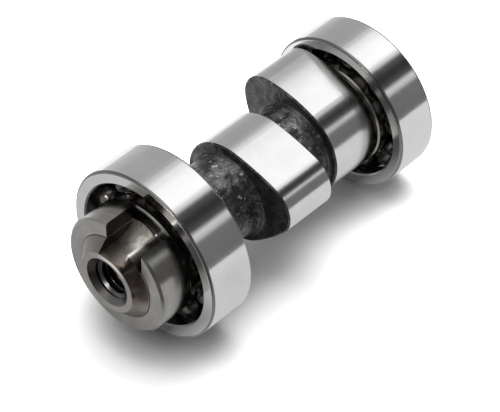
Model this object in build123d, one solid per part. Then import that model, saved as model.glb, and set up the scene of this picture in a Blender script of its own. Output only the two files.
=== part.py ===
from build123d import *
import math
import os

# Overhead camshaft for a small single-cylinder engine, carried on two open ball bearings.
# X runs along the shaft from the slotted nose to the far end, Z is up and X = 0 is the middle of
# the nose bearing, on the shaft's axis. Angles about the shaft are counted from +Z towards -Y.
# All sizes are in millimetres.

# ------------------------------------------------------------------ driving sizes
# Nose bearing, metric light series with its own balls.
near_od = 35.0
near_bore = 17.0
near_width = 10.0
near_ball_d = 4.7625
near_ball_count = 10

# Far bearing, one size smaller.
far_od = 32.0
far_bore = 15.0
far_width = 9.0
far_ball_d = 4.7625
far_ball_count = 9

# What both bearings share: raceways, edges and the riveted strip cage.
groove_conformity = 0.52
ball_play = 0.04
inner_shoulder_height = 1.05
outer_shoulder_height = 0.6
ring_corner_radius = 0.5
ring_edge_chamfer = 0.3
cage_strip = 0.6
pocket_play = 0.12
cage_side_play = 0.4
rivet_d = 0.8
rivet_head_d = 1.4
rivet_head_height = 0.3

# Slotted collar pressed on the nose, which carries and drives the timing sprocket.
# It stands out a little past the shoulder of the inner ring that it bears on.
collar_over_ring = 0.27
collar_length = 6.9
collar_chamfer = 0.45
collar_bore_chamfer = 0.2
slot_width = 8.6

# Drive slot, milled on through the nose by a disc cutter fed in along the shaft. Its one upright
# wall, on the +Y side of the axis, is common to the collar and the nose.
slot_wall = 1.85
keyway_width = 5.3
keyway_floor = 6.0
keyway_cutter_d = 11.0

# Nose of the shaft, with a tapped hole for the sprocket's bolt.
nose_proud = 2.2
nose_cone_length = 2.0
nose_rim_d = 12.6
hole_mouth_d = 10.1
thread_d = 8.0
thread_depth = 17.0
tap_drill_d = 6.8
tap_drill_depth = 20.0
drill_point_angle = 118.0

# As-cast core between the bearings, with the shoulders that locate them.
core_d = 16.6
core_fillet = 1.4
edge_match = 1e-4
near_shoulder_d = 20.4
near_shoulder_length = 2.0
far_shoulder_d = 19.2
far_shoulder_length = 0.5
shoulder_chamfer = 0.3
relief_depth = 0.15
relief_length = 0.45

# Lobes: first the one beside the nose bearing, then the one beside the far bearing.
near_bearing_to_lobe = 12.4
lobe_width = 11.5
lobe_gap = 6.3
lobe_edge_chamfer = 0.3
lobe_1_base_d = 21.0
lobe_1_height = 25.8
lobe_1_nose_r = 6.0
lobe_1_flank_r = 48.0
lobe_1_angle = 74.5
lobe_2_base_d = 20.8
lobe_2_height = 25.4
lobe_2_nose_r = 6.2
lobe_2_flank_r = 26.0
lobe_2_angle = -52.0

# Far end of the shaft, with the centre it was ground on.
far_end_proud = 0.8
far_end_chamfer = 0.5
centre_hole_d = 5.0
centre_angle = 60.0
centre_pilot_d = 2.0
centre_pilot_depth = 2.5

# ------------------------------------------------------------------ stations along X
near_face = -near_width / 2
near_back = near_width / 2
collar_face = near_face - collar_length
nose_tip = collar_face - nose_proud
lobe_1_start = near_back + near_bearing_to_lobe
lobe_1_end = lobe_1_start + lobe_width
lobe_2_start = lobe_1_end + lobe_gap
lobe_2_end = lobe_2_start + lobe_width
far_face = lobe_2_end + far_shoulder_length
far_middle = far_face + far_width / 2
far_back = far_face + far_width
shaft_end = far_back + far_end_proud

near_journal_r = near_bore / 2
far_journal_r = far_bore / 2
core_r = core_d / 2


def pitch_radius(od, bore):
    """Radius of the circle on which a bearing's ball centres lie."""
    return (od + bore) / 4


def inner_shoulder(od, bore, ball_d):
    """Radius of the shoulders beside a bearing's inner raceway."""
    return pitch_radius(od, bore) - ball_d / 2 - ball_play + inner_shoulder_height


def turned(outline):
    """Revolve a closed outline of (x, radius) points about the shaft's axis."""
    section = Plane.XZ * make_face(Polyline(*outline, close=True))
    return revolve(section, Axis.X)


# ------------------------------------------------------------------ camshaft
def cam_face(base_r, height, nose_r, flank_r):
    """Three-arc cam: base circle, two round flanks and the nose, with the nose towards +Y."""
    lift_centre = height - base_r - nose_r
    to_base = flank_r - base_r
    to_nose = flank_r - nose_r
    flank_y = (to_base**2 - to_nose**2 + lift_centre**2) / (2 * lift_centre)
    flank_x = math.sqrt(to_base**2 - flank_y**2)

    def on_flank(x, y):
        """The point where the right flank's arc passes the line from its centre through (x, y)."""
        reach = flank_r / math.hypot(x + flank_x, y - flank_y)
        return ((x + flank_x) * reach - flank_x, (y - flank_y) * reach + flank_y)

    foot = on_flank(0, 0)
    top = on_flank(0, lift_centre)
    middle = on_flank((foot[0] + top[0]) / 2, (foot[1] + top[1]) / 2)

    def mirrored(point):
        return (-point[0], point[1])

    edges = [
        ThreePointArc(mirrored(foot), (0, -base_r), foot),
        ThreePointArc(foot, middle, top),
        ThreePointArc(top, (0, lift_centre + nose_r), mirrored(top)),
        ThreePointArc(mirrored(top), mirrored(middle), mirrored(foot)),
    ]
    return make_face(edges)


def lobe(cam, start, angle):
    """One ground lobe from x = start, its nose turned by angle from +Y about the shaft."""
    solid = extrude(Plane.YZ.offset(start) * Rot(0, 0, angle) * cam, lobe_width)
    sides = solid.faces().sort_by(Axis.X)
    rims = sides[0].edges() + sides[-1].edges()
    return chamfer(rims, lobe_edge_chamfer)


def shaft_blank():
    """The turned shaft without its lobes or holes."""
    shoulder_r = near_shoulder_d / 2
    near_relief_r = near_journal_r - relief_depth
    far_relief_r = far_journal_r - relief_depth
    near_shoulder_end = near_back + near_shoulder_length
    return turned(
        [
            (nose_tip, 0),
            (nose_tip, nose_rim_d / 2),
            (nose_tip + nose_cone_length, near_journal_r),
            (near_back - relief_length, near_journal_r),
            (near_back - relief_length, near_relief_r),
            (near_back, near_relief_r),
            (near_back, shoulder_r - shoulder_chamfer),
            (near_back + shoulder_chamfer, shoulder_r),
            (near_shoulder_end, shoulder_r),
            (near_shoulder_end, core_r),
            (lobe_2_start, core_r),
            (lobe_2_start, far_shoulder_d / 2),
            (far_face, far_shoulder_d / 2),
            (far_face, far_relief_r),
            (far_face + relief_length, far_relief_r),
            (far_face + relief_length, far_journal_r),
            (shaft_end - far_end_chamfer, far_journal_r),
            (shaft_end, far_journal_r - far_end_chamfer),
            (shaft_end, 0),
        ]
    )


def tapped_hole():
    """Threaded hole at its full thread size, with a 90 degree countersink and its drill's point below."""
    thread_r = thread_d / 2
    drill_r = tap_drill_d / 2
    mouth_r = hole_mouth_d / 2
    point = drill_r / math.tan(math.radians(drill_point_angle / 2))
    return turned(
        [
            (nose_tip, 0),
            (nose_tip, mouth_r),
            (nose_tip + mouth_r - thread_r, thread_r),
            (nose_tip + thread_depth, thread_r),
            (nose_tip + thread_depth + thread_r - drill_r, drill_r),
            (nose_tip + tap_drill_depth, drill_r),
            (nose_tip + tap_drill_depth + point, 0),
        ]
    )


def keyway():
    """What the disc cutter takes off the nose: a flat floor that runs out upwards at the bearing."""
    cutter_r = keyway_cutter_d / 2
    depth = near_journal_r - keyway_floor
    centre_x = near_face - math.sqrt(2 * cutter_r * depth - depth**2)
    centre_y = slot_wall - keyway_width / 2
    centre_z = keyway_floor + cutter_r
    disc = Cylinder(cutter_r, keyway_width, rotation=(90, 0, 0))
    path_length = centre_x - nose_tip + cutter_r
    path = Pos(-path_length / 2, 0, 0) * Box(path_length, keyway_width, keyway_cutter_d)
    return Pos(centre_x, centre_y, centre_z) * (disc + path)


def centre_hole():
    """Lathe centre in the far end."""
    pilot_r = centre_pilot_d / 2
    mouth_r = centre_hole_d / 2
    cone = (mouth_r - pilot_r) / math.tan(math.radians(centre_angle / 2))
    return turned(
        [
            (shaft_end, 0),
            (shaft_end, mouth_r),
            (shaft_end - cone, pilot_r),
            (shaft_end - cone - centre_pilot_depth, pilot_r),
            (shaft_end - cone - centre_pilot_depth, 0),
        ]
    )


def make_camshaft():
    """Shaft, core and both lobes in one casting."""
    cam_1 = cam_face(lobe_1_base_d / 2, lobe_1_height, lobe_1_nose_r, lobe_1_flank_r)
    cam_2 = cam_face(lobe_2_base_d / 2, lobe_2_height, lobe_2_nose_r, lobe_2_flank_r)
    casting = shaft_blank()
    casting += lobe(cam_1, lobe_1_start, lobe_1_angle)
    casting += lobe(cam_2, lobe_2_start, lobe_2_angle)

    # Cast fillets where the core meets the shoulder and the sides of the lobes.
    roots = (near_back + near_shoulder_length, lobe_1_start, lobe_1_end, lobe_2_start)
    core_edges = [
        edge
        for edge in casting.edges().filter_by(GeomType.CIRCLE)
        if abs(edge.radius - core_r) < edge_match
        and min(abs(edge.center().X - x) for x in roots) < edge_match
    ]
    return fillet(core_edges, core_fillet) - keyway() - tapped_hole() - centre_hole()


# ------------------------------------------------------------------ sprocket collar
def make_collar():
    """Collar on the nose, cut through on one side by the slot for the sprocket's key."""
    outer_r = inner_shoulder(near_od, near_bore, near_ball_d) + collar_over_ring
    ring = turned(
        [
            (collar_face + collar_bore_chamfer, near_journal_r),
            (collar_face, near_journal_r + collar_bore_chamfer),
            (collar_face, outer_r - collar_chamfer),
            (collar_face + collar_chamfer, outer_r),
            (near_face, outer_r),
            (near_face, near_journal_r),
        ]
    )
    middle = (collar_face + near_face) / 2
    slot = Box(2 * collar_length, slot_width, 2 * outer_r)
    return ring - Pos(middle, slot_wall - slot_width / 2, outer_r) * slot


# ------------------------------------------------------------------ ball bearings
def race_ring(seat_r, shoulder_r, groove_r, groove_bottom_r, width):
    """Bearing ring centred on x = 0: round corners on its seat, chamfers beside its groove."""
    outward = 1 if seat_r < shoulder_r else -1
    height = abs(shoulder_r - seat_r)
    section = Pos(0, (seat_r + shoulder_r) / 2) * Rectangle(width, height)
    by_radius = section.vertices().sort_by(Axis.Y)
    seat_corners = by_radius[:2] if outward > 0 else by_radius[2:]
    section = fillet(seat_corners, ring_corner_radius)
    by_radius = section.vertices().sort_by(Axis.Y)
    groove_corners = by_radius[-2:] if outward > 0 else by_radius[:2]
    section = chamfer(groove_corners, ring_edge_chamfer)
    section -= Pos(0, groove_bottom_r + outward * groove_r) * Circle(groove_r)
    return revolve(Plane.XZ * section, Axis.X)


def round_the_pitch(count, pitch_r, first=0.0):
    """Places evenly spaced on the pitch circle, each turned to face out from the axis."""
    return [Rot(first + 360 * index / count, 0, 0) * Pos(0, 0, pitch_r) for index in range(count)]


def cage_half(side, ball_r, count, pitch_r, inner_r, outer_r):
    """One pressed strip of the cage: flat lands joined by a round pocket over each ball."""
    pocket_r = ball_r + pocket_play
    reach = pocket_r + cage_strip
    tube = Rot(0, 90, 0) * (Cylinder(outer_r, 2 * reach) - Cylinder(inner_r, 2 * reach))
    this_side = Pos(side * reach / 2, 0, 0) * Box(reach, 2 * outer_r, 2 * outer_r)
    domes = [place * Sphere(reach) for place in round_the_pitch(count, pitch_r)]
    pockets = [place * Sphere(pocket_r) for place in round_the_pitch(count, pitch_r)]
    between = round_the_pitch(count, pitch_r, first=180 / count)
    holes = [place * Rot(0, 90, 0) * Cylinder(rivet_d / 2, 4 * cage_strip) for place in between]

    land = Pos(side * cage_strip / 2, 0, 0) * Box(cage_strip, 2 * outer_r, 2 * outer_r)
    strip = (tube & this_side & (Part() + domes)) + (tube & land)
    return strip - pockets - holes


def rivet():
    """Cage rivet along X, with a low round head against each strip."""
    head_r = rivet_head_d / 2
    shank_r = rivet_d / 2
    dome_r = (head_r**2 + rivet_head_height**2) / (2 * rivet_head_height)
    crown = cage_strip + rivet_head_height
    half_way = crown - dome_r + math.sqrt(dome_r**2 - (head_r / 2) ** 2)
    under_heads = [(cage_strip, head_r), (cage_strip, shank_r), (-cage_strip, shank_r), (-cage_strip, head_r)]
    profile = [
        Line((-crown, 0), (crown, 0)),
        ThreePointArc((crown, 0), (half_way, head_r / 2), (cage_strip, head_r)),
        Polyline(*under_heads),
        ThreePointArc((-cage_strip, head_r), (-half_way, head_r / 2), (-crown, 0)),
    ]
    return revolve(Plane.XZ * make_face(profile), Axis.X)


def make_bearing(prefix, middle_x, od, bore, width, ball_d, count):
    """All the pieces of one bearing, keyed by node name."""
    pitch_r = pitch_radius(od, bore)
    ball_r = ball_d / 2
    groove_r = groove_conformity * ball_d
    inner_bottom_r = pitch_r - ball_r - ball_play
    outer_bottom_r = pitch_r + ball_r + ball_play
    inner_shoulder_r = inner_shoulder(od, bore, ball_d)
    outer_shoulder_r = outer_bottom_r - outer_shoulder_height
    cage_inner_r = inner_shoulder_r + cage_side_play
    cage_outer_r = outer_shoulder_r - cage_side_play

    pieces = {
        "inner_ring": race_ring(bore / 2, inner_shoulder_r, groove_r, inner_bottom_r, width),
        "outer_ring": race_ring(od / 2, outer_shoulder_r, groove_r, outer_bottom_r, width),
        "cage_front": cage_half(-1, ball_r, count, pitch_r, cage_inner_r, cage_outer_r),
        "cage_back": cage_half(1, ball_r, count, pitch_r, cage_inner_r, cage_outer_r),
    }
    rivets = [place * rivet() for place in round_the_pitch(count, pitch_r, first=180 / count)]
    pieces["cage_rivets"] = Compound(children=rivets)
    for number, place in enumerate(round_the_pitch(count, pitch_r), start=1):
        pieces[f"ball_{number:02d}"] = place * Sphere(ball_r)
    return {f"{prefix}_{name}": Pos(middle_x, 0, 0) * piece for name, piece in pieces.items()}


# ------------------------------------------------------------------ build and write
parts = {"camshaft": make_camshaft(), "sprocket_collar": make_collar()}
parts |= make_bearing("near", 0.0, near_od, near_bore, near_width, near_ball_d, near_ball_count)
parts |= make_bearing("far", far_middle, far_od, far_bore, far_width, far_ball_d, far_ball_count)

os.makedirs("parts", exist_ok=True)
for node, shape in parts.items():
    export_step(shape, f"parts/{node}.step")
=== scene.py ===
import math

import bpy
from mathutils import Matrix, Vector


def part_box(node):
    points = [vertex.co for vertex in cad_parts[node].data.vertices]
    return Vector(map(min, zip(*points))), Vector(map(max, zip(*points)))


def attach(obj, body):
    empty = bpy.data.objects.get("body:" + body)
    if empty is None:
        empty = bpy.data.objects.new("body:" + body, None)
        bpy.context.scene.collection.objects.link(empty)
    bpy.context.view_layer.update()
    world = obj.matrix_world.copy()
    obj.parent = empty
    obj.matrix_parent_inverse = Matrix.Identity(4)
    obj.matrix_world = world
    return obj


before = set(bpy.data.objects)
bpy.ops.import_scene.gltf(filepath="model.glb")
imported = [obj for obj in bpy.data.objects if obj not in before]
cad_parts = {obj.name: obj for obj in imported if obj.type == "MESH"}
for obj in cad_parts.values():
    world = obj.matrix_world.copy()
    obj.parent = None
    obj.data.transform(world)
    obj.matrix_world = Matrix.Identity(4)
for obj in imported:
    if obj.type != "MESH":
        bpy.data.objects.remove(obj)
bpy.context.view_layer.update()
scene = bpy.context.scene
bpy.ops.object.select_all(action="DESELECT")


# ---------------------------------------------------------------- camshaft casting
# The shaft and both lobes are one chilled iron casting. The core and the lobes' sides keep the
# dark skin of the mould. The lobes, the shoulders and both journals are ground. The nose is
# turned, has a slot milled along it, and is stained brown.
def finish(name, metallic=1.0, roughness=0.3, specular=0.5):
    """A new material, given back with its node tree and its shader."""
    material = bpy.data.materials.new(name)
    material.use_nodes = True
    shader = material.node_tree.nodes["Principled BSDF"]
    shader.inputs["Metallic"].default_value = metallic
    shader.inputs["Roughness"].default_value = roughness
    shader.inputs["Specular IOR Level"].default_value = specular
    return material, material.node_tree, shader


def node(tree, kind, inputs=(), **settings):
    """One node, with its settings and with each input set to a value or linked to a socket."""
    made = tree.nodes.new(kind)
    for key, value in settings.items():
        setattr(made, key, value)
    for key, value in dict(inputs).items():
        if isinstance(value, bpy.types.NodeSocket):
            tree.links.new(value, made.inputs[key])
        else:
            made.inputs[key].default_value = value
    return made


def calc(tree, operation, first, *others):
    """A Math operation on one value, or on several in turn, such as their product."""
    result = first
    for other in others or (0.0,):
        result = node(tree, "ShaderNodeMath", {0: result, 1: other}, operation=operation).outputs[0]
    return result


def outside(tree, mask):
    """The rest of the surface: 1 where a mask is 0, and 0 where it is 1."""
    return calc(tree, "SUBTRACT", 1.0, mask)


def blend(tree, mask, a, b):
    """Colour or value a where the mask is 0, and b where it is 1."""
    colour = node(tree, "ShaderNodeMix", {0: mask}, data_type="RGBA")
    for index, value in ((6, a), (7, b)):
        if isinstance(value, bpy.types.NodeSocket):
            tree.links.new(value, colour.inputs[index])
        else:
            colour.inputs[index].default_value = (*value, 1.0)
    return colour.outputs[2]


def between(tree, value, low, high, to_low=0.0, to_high=1.0):
    """A value taken from one range to another and held at its ends."""
    inputs = {"Value": value, "From Min": low, "From Max": high, "To Min": to_low, "To Max": to_high}
    return node(tree, "ShaderNodeMapRange", inputs).outputs[0]


def speckle(tree, place, scale, detail, roughness=0.5):
    """Noise all through a piece, at so many lumps per metre."""
    inputs = {"Vector": place.outputs["Object"], "Scale": scale, "Detail": detail, "Roughness": roughness}
    return node(tree, "ShaderNodeTexNoise", inputs).outputs[0]


def relief(tree, height, distance, strength):
    """The normal of a surface that stands up by a height, at most by a distance in metres."""
    inputs = {"Height": height, "Distance": distance, "Strength": strength}
    return node(tree, "ShaderNodeBump", inputs).outputs[0]


def on_shaft(tree):
    """Where a point is from the middle of the nose bearing, in millimetres: its x, y and z, its
    radius from the shaft's axis, and the node that they come from."""
    place = node(tree, "ShaderNodeTexCoord")
    split = node(tree, "ShaderNodeSeparateXYZ", {0: place.outputs["Object"]})
    x, y, z = (calc(tree, "MULTIPLY", split.outputs[i], 1000.0) for i in range(3))
    squares = calc(tree, "ADD", calc(tree, "MULTIPLY", y, y), calc(tree, "MULTIPLY", z, z))
    return x, y, z, calc(tree, "SQRT", squares), place


def group(name, inputs, outputs):
    """An empty node group with plain number inputs and outputs."""
    tree = bpy.data.node_groups.new(name, "ShaderNodeTree")
    for socket, value in inputs.items():
        made = tree.interface.new_socket(socket, in_out="INPUT", socket_type="NodeSocketFloat")
        made.default_value = value
    for socket in outputs:
        tree.interface.new_socket(socket, in_out="OUTPUT", socket_type="NodeSocketFloat")
    return tree, tree.nodes.new("NodeGroupInput"), tree.nodes.new("NodeGroupOutput")


# Lines that a turning tool or a grinding wheel leaves, which run round the shaft: they change
# quickly along it and outwards, and hardly at all on the way round.
tool_lines, given, made = group("tool_lines", {"Lines per mm": 4.0, "Waver": 0.6}, ["Height"])
x, y, z, radius, _ = on_shaft(tool_lines)
wide = calc(tool_lines, "MAXIMUM", radius, 0.1)
round_y = calc(tool_lines, "MULTIPLY", calc(tool_lines, "DIVIDE", y, wide), given.outputs["Waver"])
round_z = calc(tool_lines, "MULTIPLY", calc(tool_lines, "DIVIDE", z, wide), given.outputs["Waver"])
across = node(
    tool_lines,
    "ShaderNodeCombineXYZ",
    {
        0: calc(tool_lines, "MULTIPLY", x, given.outputs["Lines per mm"]),
        1: calc(tool_lines, "MULTIPLY", radius, given.outputs["Lines per mm"]),
        2: round_y,
    },
)
lines = node(
    tool_lines,
    "ShaderNodeTexNoise",
    {"Vector": across.outputs[0], "W": round_z, "Scale": 1.0, "Detail": 3.0, "Roughness": 0.65},
    noise_dimensions="4D",
)
tool_lines.links.new(lines.outputs[0], made.inputs["Height"])

# Thin film of rust-preventing oil, uneven over the whole part.
oil_film, given, made = group("oil_film", {"Patches per mm": 0.12}, ["Film"])
place = node(oil_film, "ShaderNodeTexCoord")
patches = node(
    oil_film,
    "ShaderNodeTexNoise",
    {
        "Vector": place.outputs["Object"],
        "Scale": calc(oil_film, "MULTIPLY", given.outputs[0], 1000.0),
        "Detail": 4.0,
        "Roughness": 0.55,
        "Distortion": 0.4,
    },
)
oil_film.links.new(between(oil_film, patches.outputs[0], 0.35, 0.68), made.inputs["Film"])


def placed(tree, effect, **values):
    """An effect's group in a material, with its own values."""
    made = tree.nodes.new("ShaderNodeGroup")
    made.node_tree = effect
    for key, value in values.items():
        made.inputs[key.replace("_", " ")].default_value = value
    return made.outputs[0]


camshaft_finish, tree, shader = finish("camshaft_iron_cast_and_ground")
x, y, z, radius, place = on_shaft(tree)
facing = node(tree, "ShaderNodeSeparateXYZ", {0: place.outputs["Normal"]})
sideways = calc(tree, "ABSOLUTE", facing.outputs[0])

# Sizes in millimetres, along the shaft and outwards.
near_journal_end = 5.0
far_journal_start = 47.2
collar_back = -5.0
collar_middle = -8.5
cone_start = -12.1
tip = -14.1
core_limit = 9.0
journal_radius = 8.5
tip_radius = 6.3
land_middle = 5.75
hole_mouth = 5.12

# Ground where the surface looks outwards beyond the core, and on both journals.
outer = between(tree, radius, core_limit, core_limit + 0.3)
rim = calc(tree, "MULTIPLY", outer, between(tree, sideways, 0.62, 0.45))
near_journal = between(tree, x, near_journal_end + 0.02, near_journal_end - 0.02)
far_journal = between(tree, x, far_journal_start - 0.02, far_journal_start + 0.02)
journals = calc(tree, "MAXIMUM", near_journal, far_journal)
ground = calc(tree, "MAXIMUM", rim, journals)

# Turned on the nose, its cone and the flat land at its tip, and in the holes of both ends.
nose = between(tree, x, collar_back + 0.1, collar_back - 0.1)
cone = between(tree, x, cone_start + 0.05, cone_start - 0.05)
land = between(tree, x, tip + 0.04, tip + 0.01)
hole = calc(tree, "MULTIPLY", between(tree, radius, hole_mouth, hole_mouth - 0.12), journals)
turned = calc(tree, "MAXIMUM", nose, hole)

# The milled slot lies under the turned surface, which falls with the cone to the tip.
turned_radius = between(tree, x, tip, cone_start, tip_radius, journal_radius)
under = between(tree, calc(tree, "SUBTRACT", turned_radius, radius), 0.04, 0.10)
milled = calc(tree, "MULTIPLY", under, nose, outside(tree, land))
# The slot's left wall, which is painted near black as painted shade.
shaded_slot_wall = calc(tree, "MULTIPLY", milled, between(tree, facing.outputs[1], -0.6, -0.9))

# The slot's right edge and the top of the land are painted near white, as painted highlights.
slot_edge = -3.45
upper_nose = calc(tree, "MULTIPLY", nose, between(tree, z, 2.0, 4.0))
from_edge = calc(tree, "ABSOLUTE", calc(tree, "SUBTRACT", y, slot_edge - 0.1))
edge_band = between(tree, from_edge, 0.34, 0.18)
edge_glint = calc(tree, "MULTIPLY", edge_band, between(tree, x, tip + 1.1, tip + 1.7), upper_nose)
from_middle = calc(tree, "ABSOLUTE", calc(tree, "SUBTRACT", radius, land_middle))
land_band = between(tree, from_middle, 0.50, 0.25)
land_top = calc(tree, "MULTIPLY", between(tree, z, 3.8, 5.2), between(tree, y, 2.5, -0.5))
land_glint = calc(tree, "MULTIPLY", land, land_top, land_band)
nose_glints = calc(tree, "MAXIMUM", edge_glint, land_glint)

sand = speckle(tree, place, 900.0, 5.0, 0.6)
lumps = speckle(tree, place, 420.0, 3.0, 0.55)
pits = node(tree, "ShaderNodeTexVoronoi", {"Vector": place.outputs["Object"], "Scale": 520.0}).outputs[0]
lines = placed(tree, tool_lines, Lines_per_mm=5.0, Waver=0.5)
film = placed(tree, oil_film, Patches_per_mm=0.16)

# The skin is painted paler on its upper side, as painted light from above. Its sand flecks are painted
# bright, as painted glints, and most of them are on top.
skin_dark = (0.040, 0.040, 0.043)
lump_below = (0.105, 0.105, 0.110)
lump_lit_above = (0.21, 0.21, 0.215)
fleck_glint_tone = (0.60, 0.60, 0.605)
lit_above = between(tree, facing.outputs[2], 0.45, 0.90)
lump_tone = blend(tree, lit_above, lump_below, lump_lit_above)
skin_tone = blend(tree, between(tree, lumps, 0.45, 0.68), skin_dark, lump_tone)
fleck_glint_share = between(tree, lit_above, 0.0, 1.0, 0.35, 1.0)
fleck_glints = calc(tree, "MULTIPLY", between(tree, sand, 0.60, 0.66), fleck_glint_share)
skin_tone = blend(tree, fleck_glints, skin_tone, fleck_glint_tone)

# The sides of the lobes are flat in the mould, and come out of it smoother and more even.
side_dark = (0.036, 0.036, 0.039)
side_lump = (0.11, 0.11, 0.115)
lobe_side = between(tree, sideways, 0.55, 0.85)
side_tone = blend(tree, between(tree, lumps, 0.40, 0.70), side_dark, side_lump)
skin_tone = blend(tree, calc(tree, "MULTIPLY", lobe_side, 0.8), skin_tone, side_tone)

# Steel tones of the machined surfaces, each bare and then under oil.
ground_tone = blend(tree, film, (0.80, 0.80, 0.80), (0.74, 0.74, 0.735))
seat_tone = blend(tree, film, (0.66, 0.64, 0.60), (0.56, 0.53, 0.48))
cone_tone = blend(tree, film, (0.33, 0.31, 0.29), (0.25, 0.222, 0.195))
land_tone = blend(tree, film, (0.42, 0.405, 0.385), (0.33, 0.31, 0.285))

# Darker brown on the right of the cone, in patches.
right_side_brown = (0.11, 0.080, 0.066)
right_side_place = calc(tree, "MULTIPLY", between(tree, y, -1.5, -4.0), between(tree, z, -3.0, 1.0))
right_side_patches = calc(tree, "MULTIPLY", right_side_place, between(tree, lumps, 0.40, 0.60, 0.35, 1.0))
cone_tone = blend(tree, right_side_patches, cone_tone, right_side_brown)

# The slot's floor is brown at the tip and paler towards the back. Its wall is painted near black, as
# painted shade in the slot.
slot_at_tip = (0.42, 0.34, 0.29)
slot_towards_back = (0.92, 0.90, 0.80)
slot_mottle = (0.40, 0.34, 0.27)
slot_shade_black = (0.030, 0.022, 0.019)
milled_tone = blend(tree, between(tree, x, tip + 0.3, collar_middle), slot_at_tip, slot_towards_back)
milled_tone = blend(tree, between(tree, sand, 0.45, 0.62, 0.0, 0.55), milled_tone, slot_mottle)
milled_tone = blend(tree, shaded_slot_wall, milled_tone, slot_shade_black)

# Painted light: the hole's wall is painted dark in its upper part, as shade, and lighter in its lower
# part, where light reaches in.
hole_shaded_above = (0.045, 0.042, 0.040)
hole_lit_below = (0.22, 0.215, 0.21)
hole_tone = blend(tree, between(tree, z, -1.5, -4.5), hole_shaded_above, hole_lit_below)

# Painted highlight tone for the slot's right edge and the top of the land.
glint_white = (0.97, 0.95, 0.92)
turned_tone = blend(tree, cone, seat_tone, cone_tone)
turned_tone = blend(tree, land, turned_tone, land_tone)
turned_tone = blend(tree, nose_glints, turned_tone, glint_white)
turned_tone = blend(tree, milled, turned_tone, milled_tone)
turned_tone = blend(tree, hole, turned_tone, hole_tone)
tone = blend(tree, ground, skin_tone, ground_tone)
tone = blend(tree, turned, tone, turned_tone)
tree.links.new(tone, shader.inputs["Base Color"])

metal = calc(tree, "MAXIMUM", ground, turned)
skin = outside(tree, metal)
tree.links.new(between(tree, metal, 0.0, 1.0, 0.60, 1.0), shader.inputs["Metallic"])
skin_rough = between(tree, sand, 0.35, 0.7, 0.20, 0.38)
ground_rough = between(tree, lines, 0.3, 0.7, 0.12, 0.20)
turned_rough = calc(
    tree,
    "ADD",
    between(tree, film, 0.0, 1.0, 0.13, 0.20),
    calc(tree, "MULTIPLY", milled, 0.14),
    calc(tree, "MULTIPLY", nose_glints, 0.18),
)
rough = calc(
    tree,
    "ADD",
    calc(tree, "MULTIPLY", skin_rough, skin),
    calc(tree, "MULTIPLY", ground_rough, ground, outside(tree, turned)),
    calc(tree, "MULTIPLY", turned_rough, turned),
)
tree.links.new(rough, shader.inputs["Roughness"])

# The skin stands up in lumps and sand and sinks in pits, and less so on the lobes' sides.
skin_height = calc(
    tree,
    "ADD",
    calc(tree, "MULTIPLY", sand, 0.5),
    calc(tree, "MULTIPLY", lumps, 2.2),
    between(tree, pits, 0.0, 0.35, -0.3, 0.0),
)
skin_height = calc(tree, "MULTIPLY", skin_height, skin, between(tree, lobe_side, 0.0, 1.0, 1.3, 0.45))
line_height = calc(tree, "MULTIPLY", lines, metal, 0.05)

# The slot's right edge is worn round: the surface beside it falls away towards it.
fall = between(tree, y, slot_edge - 0.5, slot_edge, 0.0, -0.7)
fall_place = calc(
    tree,
    "MULTIPLY",
    upper_nose,
    between(tree, x, tip + 0.5, tip + 1.1),
    between(tree, y, slot_edge + 0.25, slot_edge + 0.05),
    outside(tree, milled),
)
height = calc(tree, "ADD", skin_height, line_height, calc(tree, "MULTIPLY", fall, fall_place))
tree.links.new(relief(tree, height, 0.0003, 0.8), shader.inputs["Normal"])


def dress(material, *names):
    """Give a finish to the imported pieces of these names."""
    for name in names:
        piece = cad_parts[name]
        piece.data.materials.clear()
        piece.data.materials.append(material)


dress(camshaft_finish, "camshaft")


# ---------------------------------------------------------------- thread in the nose
# The hole in the nose is tapped M8 for the sprocket's bolt. The ridge of a 60 degree thread,
# 1.25 mm from turn to turn, stands in from the hole's wall and runs out below the countersink.
thread_pitch = 0.00125
thread_root = 0.00403
thread_crest = 0.00334
thread_turns = 12
thread_steps = 64
thread_start = -0.01285
thread_smooth = math.radians(35)
half_root = thread_pitch * 0.44
half_crest = thread_pitch * 0.09

# The ridge's section is a flat frame, wide at the hole's wall and narrow at the crest.
middle = (thread_root + thread_crest) / 2
upright = (math.pi / 2, 0, 0)
bpy.ops.mesh.primitive_plane_add(size=1.0, location=(thread_start, 0, middle), rotation=upright)
thread = bpy.context.object
thread.name = "nose_thread"
thread.scale = (2 * half_root, thread_root - thread_crest, 1)
bpy.ops.object.transform_apply(location=True, rotation=True, scale=True)
for corner in thread.data.vertices:
    corner.select = corner.co.z < middle
for side in thread.data.edges:
    side.select = all(thread.data.vertices[i].select for i in side.vertices)
thread.data.polygons[0].select = False
bpy.ops.object.mode_set(mode="EDIT")
narrower = (half_crest / half_root, 1, 1)
bpy.ops.transform.resize(value=narrower, center_override=(thread_start, 0, thread_crest))
bpy.ops.mesh.select_all(action="SELECT")
bpy.ops.mesh.delete(type="ONLY_FACE")
bpy.ops.object.mode_set(mode="OBJECT")

# It is wound up the hole, and its two ends are closed.
screw = thread.modifiers.new("turns", "SCREW")
screw.axis = "X"
screw.angle = 2 * math.pi
screw.screw_offset = thread_pitch
screw.iterations = thread_turns
screw.steps = thread_steps
screw.render_steps = thread_steps
screw.use_smooth_shade = False
bpy.ops.object.modifier_apply(modifier=screw.name)
bpy.ops.object.mode_set(mode="EDIT")
bpy.ops.mesh.select_all(action="SELECT")
bpy.ops.mesh.remove_doubles(threshold=1e-7)
bpy.ops.mesh.select_all(action="DESELECT")
bpy.ops.mesh.select_non_manifold()
bpy.ops.mesh.edge_face_add()
bpy.ops.mesh.select_all(action="SELECT")
bpy.ops.mesh.normals_make_consistent(inside=False)
bpy.ops.object.mode_set(mode="OBJECT")
bpy.ops.object.shade_smooth_by_angle(angle=thread_smooth)
thread.data.materials.append(camshaft_finish)
thread.select_set(False)
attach(thread, "shaft")
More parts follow.
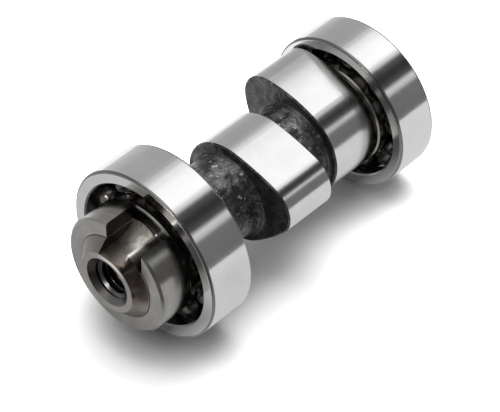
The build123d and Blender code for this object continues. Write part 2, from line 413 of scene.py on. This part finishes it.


# ---------------------------------------------------------------- sprocket collar
# A turned steel collar pressed on the nose, with the slot for the sprocket's tongue milled
# through one side. It is left as turned, so its face shows fine rings. The walls of its slot
# are painted brown to black in patches, as painted shade in the slot.
collar_finish, tree, shader = finish("collar_steel_turned")
collar_bare = (0.44, 0.435, 0.42)
collar_oiled = (0.36, 0.35, 0.335)
collar_line = (0.27, 0.26, 0.245)
wall_shade_brown = (0.040, 0.030, 0.026)
wall_shade_black = (0.024, 0.018, 0.016)
_, y, z, _, place = on_shaft(tree)
facing = node(tree, "ShaderNodeSeparateXYZ", {0: place.outputs["Normal"]})
lines = placed(tree, tool_lines, Lines_per_mm=3.2, Waver=0.35)
film = placed(tree, oil_film, Patches_per_mm=0.22)
tone = blend(tree, film, collar_bare, collar_oiled)
tone = blend(tree, between(tree, lines, 0.40, 0.62, 0.0, 0.30), tone, collar_line)

# The walls are the upright faces half a slot's width from its middle.
slot_middle = -2.45
slot_half_width = 4.3
from_middle = calc(tree, "ABSOLUTE", calc(tree, "SUBTRACT", y, slot_middle))
from_wall = calc(tree, "ABSOLUTE", calc(tree, "SUBTRACT", from_middle, slot_half_width))
across_shaft = calc(tree, "ABSOLUTE", facing.outputs[1])
shaded_slot_wall = calc(
    tree,
    "MULTIPLY",
    between(tree, from_wall, 0.06, 0.02),
    between(tree, across_shaft, 0.95, 0.99),
    between(tree, z, 0.0, 1.0),
)
# Painted shade on the slot's walls.
tone = blend(tree, shaded_slot_wall, tone, blend(tree, film, wall_shade_brown, wall_shade_black))
tree.links.new(tone, shader.inputs["Base Color"])
tree.links.new(between(tree, film, 0.0, 1.0, 0.22, 0.15), shader.inputs["Roughness"])
tree.links.new(relief(tree, lines, 0.00002, 0.6), shader.inputs["Normal"])
dress(collar_finish, "sprocket_collar")


# ---------------------------------------------------------------- outer rings of the bearings
# Hardened bearing steel, free to turn on the balls. Seats and faces are ground, with fine lines
# from the wheel that run round the ring. The rounded corners are painted dark, as a painted dark
# reflection, and the bore as painted shade inside the bearing. The upper part of the far ring's front face
# is darker.
ring_finish, tree, shader = finish("bearing_ring_ground")
ring_bare = (0.82, 0.82, 0.825)
ring_oiled = (0.76, 0.76, 0.76)
shade_dark_tone = (0.24, 0.235, 0.225)
near_bore = 14.95
far_bore = 13.75
far_face = 47.2
lines = placed(tree, tool_lines, Lines_per_mm=6.0, Waver=0.45)
broad = placed(tree, tool_lines, Lines_per_mm=1.1, Waver=0.25)
film = placed(tree, oil_film, Patches_per_mm=0.10)
x, y, z, radius, place = on_shaft(tree)
facing = node(tree, "ShaderNodeSeparateXYZ", {0: place.outputs["Normal"]})
sideways = calc(tree, "ABSOLUTE", facing.outputs[0])
# Painted dark reflection on the rounded corners, and painted shade in the bore.
past_seat = between(tree, sideways, 0.04, 0.15)
before_face = between(tree, sideways, 0.997, 0.96)
corner = calc(tree, "MULTIPLY", past_seat, before_face)
bore = between(tree, x, 20.0, 30.0, near_bore, far_bore)
inside = between(tree, calc(tree, "SUBTRACT", bore, radius), -0.05, 0.05)
# The upper part of the far ring's front face is darker, in a patch.
darker_face_patch = calc(
    tree,
    "MULTIPLY",
    between(tree, x, far_face - 1.2, far_face - 0.2),
    between(tree, x, far_face + 1.0, far_face + 0.4),
    between(tree, z, 3.0, 6.5, 0.22, 0.78),
    between(tree, y, 9.0, 5.0),
    between(tree, sideways, 0.9, 0.97),
)
dark = calc(tree, "MAXIMUM", corner, inside, darker_face_patch)
tone = blend(tree, film, ring_bare, ring_oiled)
tree.links.new(blend(tree, dark, tone, shade_dark_tone), shader.inputs["Base Color"])
grain = calc(tree, "ADD", calc(tree, "MULTIPLY", lines, 0.5), calc(tree, "MULTIPLY", broad, 0.5))
rough = calc(tree, "ADD", between(tree, grain, 0.35, 0.65, 0.07, 0.14), calc(tree, "MULTIPLY", dark, 0.12))
tree.links.new(rough, shader.inputs["Roughness"])
tree.links.new(relief(tree, lines, 0.00001, 0.5), shader.inputs["Normal"])
dress(ring_finish, "near_outer_ring", "far_outer_ring")


# ---------------------------------------------------------------- inner rings of the bearings
# The same hardened steel, pressed on the journals. They sit deep in the bearing beside the shaft,
# so they are painted near black as painted shade, patchy with oil, and only their shoulders' tops are left
# lighter.
inner_finish, tree, shader = finish("bearing_inner_ring_shaded")
groove_oiled_in_shade = (0.055, 0.050, 0.045)
groove_black_in_shade = (0.030, 0.026, 0.022)
shoulder_lighter = (0.31, 0.30, 0.285)
near_shoulder = 11.55
far_shoulder = 10.35
lines = placed(tree, tool_lines, Lines_per_mm=5.0, Waver=0.45)
film = placed(tree, oil_film, Patches_per_mm=0.25)
x, _, _, radius, _ = on_shaft(tree)
shoulder = between(tree, x, 20.0, 30.0, near_shoulder, far_shoulder)
shoulder_top = between(tree, calc(tree, "SUBTRACT", shoulder, radius), 0.9, 0.2)
tone = blend(tree, film, groove_oiled_in_shade, groove_black_in_shade)
tree.links.new(blend(tree, shoulder_top, tone, shoulder_lighter), shader.inputs["Base Color"])
tree.links.new(between(tree, lines, 0.35, 0.65, 0.16, 0.30), shader.inputs["Roughness"])
tree.links.new(relief(tree, lines, 0.00001, 0.5), shader.inputs["Normal"])
dress(inner_finish, "near_inner_ring", "far_inner_ring")


# ---------------------------------------------------------------- bearing balls
# Ten balls in the nose bearing and nine in the far one, of hardened steel. They are lapped and
# polished, and run in the rings' grooves, bright under their oil.
ball_finish, tree, shader = finish("bearing_ball_polished")
ball_bare = (0.70, 0.70, 0.70)
ball_oiled = (0.48, 0.47, 0.45)
film = placed(tree, oil_film, Patches_per_mm=0.5)
tree.links.new(blend(tree, film, ball_bare, ball_oiled), shader.inputs["Base Color"])
tree.links.new(between(tree, film, 0.0, 1.0, 0.04, 0.12), shader.inputs["Roughness"])
dress(ball_finish, *(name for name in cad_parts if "_ball_" in name))


# ---------------------------------------------------------------- bearing cages
# Each cage is two pressed steel strips with a pocket for every ball, riveted together between
# the balls. The strip is dull from rolling, and dark: partly its own grey under patchy oil, partly painted
# shade inside the bearing.
cage_finish, tree, shader = finish("bearing_cage_pressed")
cage_bare = (0.17, 0.165, 0.155)
cage_oiled_in_shade = (0.065, 0.061, 0.056)
film = placed(tree, oil_film, Patches_per_mm=0.35)
place = node(tree, "ShaderNodeTexCoord")
rolled = speckle(tree, place, 1400.0, 4.0)
tree.links.new(blend(tree, film, cage_bare, cage_oiled_in_shade), shader.inputs["Base Color"])
tree.links.new(between(tree, rolled, 0.3, 0.7, 0.13, 0.30), shader.inputs["Roughness"])
tree.links.new(relief(tree, rolled, 0.00003, 0.4), shader.inputs["Normal"])
dress(cage_finish, *(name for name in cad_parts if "_cage_" in name))


# ---------------------------------------------------------------- floor
# A white sheet that the shaft lies on. It slopes up a little to the far ring, the smaller of the
# two, so that both outer rings touch it.
near_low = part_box("near_outer_ring")[0].z
far_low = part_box("far_outer_ring")[0].z
far_x = (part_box("far_outer_ring")[0].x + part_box("far_outer_ring")[1].x) / 2
hair_gap = 0.00002
sheet_length = 1.2
sheet_width = 0.28
bpy.ops.mesh.primitive_plane_add(size=1.0, location=(0, -0.04, near_low - hair_gap))
floor = bpy.context.object
floor.name = "floor"
floor.scale = (sheet_length, sheet_width, 1.0)
floor.rotation_euler = (0, -math.atan2(far_low - near_low, far_x), 0)
bpy.ops.object.transform_apply(location=True, rotation=True, scale=True)

# The camera sees it white, with the shaft's shadow. Painted shade darkens it further where the shaft is
# close to it, and painted light lifts the shadow under the lobes and the far ring.
floor_paint, tree, shader = finish("floor_white", metallic=0.0, roughness=0.9, specular=0.0)
sheet_white = (0.86, 0.86, 0.865)
sheet_mirrored = (0.12, 0.12, 0.12)
near_reach = 0.014
x, y, _, _, _ = on_shaft(tree)
path = node(tree, "ShaderNodeLightPath")
mirrored = path.outputs["Is Glossy Ray"]
painted_contact_shade = node(tree, "ShaderNodeAmbientOcclusion", {"Distance": near_reach})
seen = calc(
    tree,
    "MULTIPLY",
    between(tree, painted_contact_shade.outputs["AO"], 0.30, 0.72, 0.48, 1.58),
    between(tree, x, 24.0, 44.0, 1.0, 1.32),
    between(tree, x, 46.0, 62.0, 1.0, 0.75),
)
paint = blend(tree, path.outputs["Is Camera Ray"], sheet_white, seen)
tree.links.new(blend(tree, mirrored, paint, sheet_mirrored), shader.inputs["Base Color"])

# Polished steel mirrors it in half light, as a painted reflection that only mirrored rays see:
# brighter behind the nose bearing, painted shade in front of the nose, and a painted shadow darkest right
# under the shaft.
lit_behind_bearing = calc(tree, "MULTIPLY", between(tree, x, -14.0, 10.0), between(tree, y, -2.0, 26.0))
before = calc(tree, "MULTIPLY", between(tree, x, -18.0, -35.0), between(tree, y, -6.0, -20.0))
beside = between(tree, calc(tree, "ABSOLUTE", y), 4.0, 12.0)
beyond = calc(tree, "MAXIMUM", between(tree, x, -9.0, -22.0), between(tree, x, 58.0, 75.0))
clear = calc(tree, "MAXIMUM", beside, beyond)
side = between(tree, y, -6.0, 10.0, 0.56, 0.47)
side = calc(tree, "ADD", side, between(tree, x, 20.0, 60.0, 0.0, 0.09))
level = calc(
    tree,
    "MULTIPLY",
    calc(tree, "MAXIMUM", side, between(tree, lit_behind_bearing, 0.0, 1.0, 0.40, 0.92)),
    between(tree, clear, 0.0, 1.0, 0.12, 1.0),
    between(tree, before, 0.0, 1.0, 1.0, 0.1),
    mirrored,
)
# The floor glows for mirrored rays only, as a painted reflection.
shader.inputs["Emission Color"].default_value = (1, 1, 1, 1)
tree.links.new(level, shader.inputs["Emission Strength"])
floor.data.materials.append(floor_paint)
floor.select_set(False)


# ---------------------------------------------------------------- studio light
# A white tent round the shaft: bright overhead, a dark gap where it is open for the lens, a thin
# bright edge beside the gap, and its walls in half light. It is darker towards the nose's end.
tent = bpy.data.worlds.new("studio_tent")
scene.world = tent
tent.use_nodes = True
tree = tent.node_tree
back = tree.nodes["Background"]
place = node(tree, "ShaderNodeTexCoord")
split = node(tree, "ShaderNodeSeparateXYZ", {0: place.outputs["Generated"]})
lean = calc(tree, "ARCTAN2", calc(tree, "MULTIPLY", split.outputs[1], -1.0), split.outputs[2])
turn = between(tree, lean, -math.pi, math.pi)
walls = node(tree, "ShaderNodeValToRGB", {0: turn})
walls.color_ramp.interpolation = "EASE"

# Angle round the shaft from straight up, in degrees, and how bright the tent is there.
tent_light = 1.25
under_floor = 0.4
steps = [
    (-120, 0.80), (-104, 0.62), (-88, 0.50), (-76, 0.43), (-46, 0.42), (-36, 0.55), (-25, 1.00),
    (-12, 1.20), (10, 1.26), (16, 0.80), (23, 0.08), (35, 0.032), (46, 0.07), (53, 0.72), (57, 0.58),
    (63, 0.18), (90, 0.17), (98, 0.22), (104, 0.60),
]
stops = walls.color_ramp.elements
while len(stops) > 1:
    stops.remove(stops[-1])
stops[0].position = 0.0
stops[0].color = (under_floor, under_floor, under_floor, 1)
for angle, level in steps:
    shade = level / tent_light
    stops.new((angle + 180) / 360).color = (shade, shade, shade, 1)
front = between(tree, split.outputs[0], -0.96, -0.72, 0.15, 1.0)
tent_walls = node(
    tree,
    "ShaderNodeMix",
    {0: 1.0, 6: walls.outputs[0], 7: front},
    data_type="RGBA",
    blend_type="MULTIPLY",
)
path = node(tree, "ShaderNodeLightPath")
white = (1 / tent_light, 1 / tent_light, 1 / tent_light)
seen = blend(tree, path.outputs["Is Camera Ray"], tent_walls.outputs[2], white)
tree.links.new(seen, back.inputs["Color"])
back.inputs["Strength"].default_value = tent_light


def round_lamp(name, size, energy, place):
    """A round lamp at a place, aimed at the shaft between its nose and its first lobe."""
    light = bpy.data.lights.new(name, "AREA")
    light.shape = "DISK"
    light.size = size
    light.energy = energy
    lamp = bpy.data.objects.new(name, light)
    scene.collection.objects.link(lamp)
    lamp.location = place
    aim = Vector((0.02, 0, 0)) - lamp.location
    lamp.rotation_euler = aim.to_track_quat("-Z", "Y").to_euler()
    return lamp


# A wide one overhead gives the soft shadow. A small one low in front of the nose puts sparkle in
# the balls and the cast skin.
window = round_lamp("window", 0.6, 2.0, (0.14, 0.06, 0.56))
window.visible_glossy = False
spark = round_lamp("spark", 0.08, 0.9, (-0.78, 0.10, 0.08))
spark.visible_diffuse = False


# ---------------------------------------------------------------- camera
# A long lens nearly half a metre away, held level, looking down on the slotted nose from its
# left, so that both bearings and the dark core between them show.
lens = bpy.data.cameras.new("camera")
lens.sensor_fit = "HORIZONTAL"
lens.sensor_width = 36.0
lens.lens = 186.4
lens.clip_start = 0.01
camera = bpy.data.objects.new("camera", lens)
scene.collection.objects.link(camera)
azimuth = math.radians(-46.78)
height = math.radians(44.36)
flat = math.cos(height)
back_way = Vector((math.sin(azimuth) * flat, -math.cos(azimuth) * flat, math.sin(height)))
right = Vector((math.cos(azimuth), math.sin(azimuth), 0))
up = back_way.cross(right)
spot = Vector((-0.2288, -0.23657, 0.33041))
camera.matrix_world = Matrix(
    (
        (right.x, up.x, back_way.x, spot.x),
        (right.y, up.y, back_way.y, spot.y),
        (right.z, up.z, back_way.z, spot.z),
        (0, 0, 0, 1),
    )
)
scene.camera = camera
scene.view_settings.view_transform = "Standard"
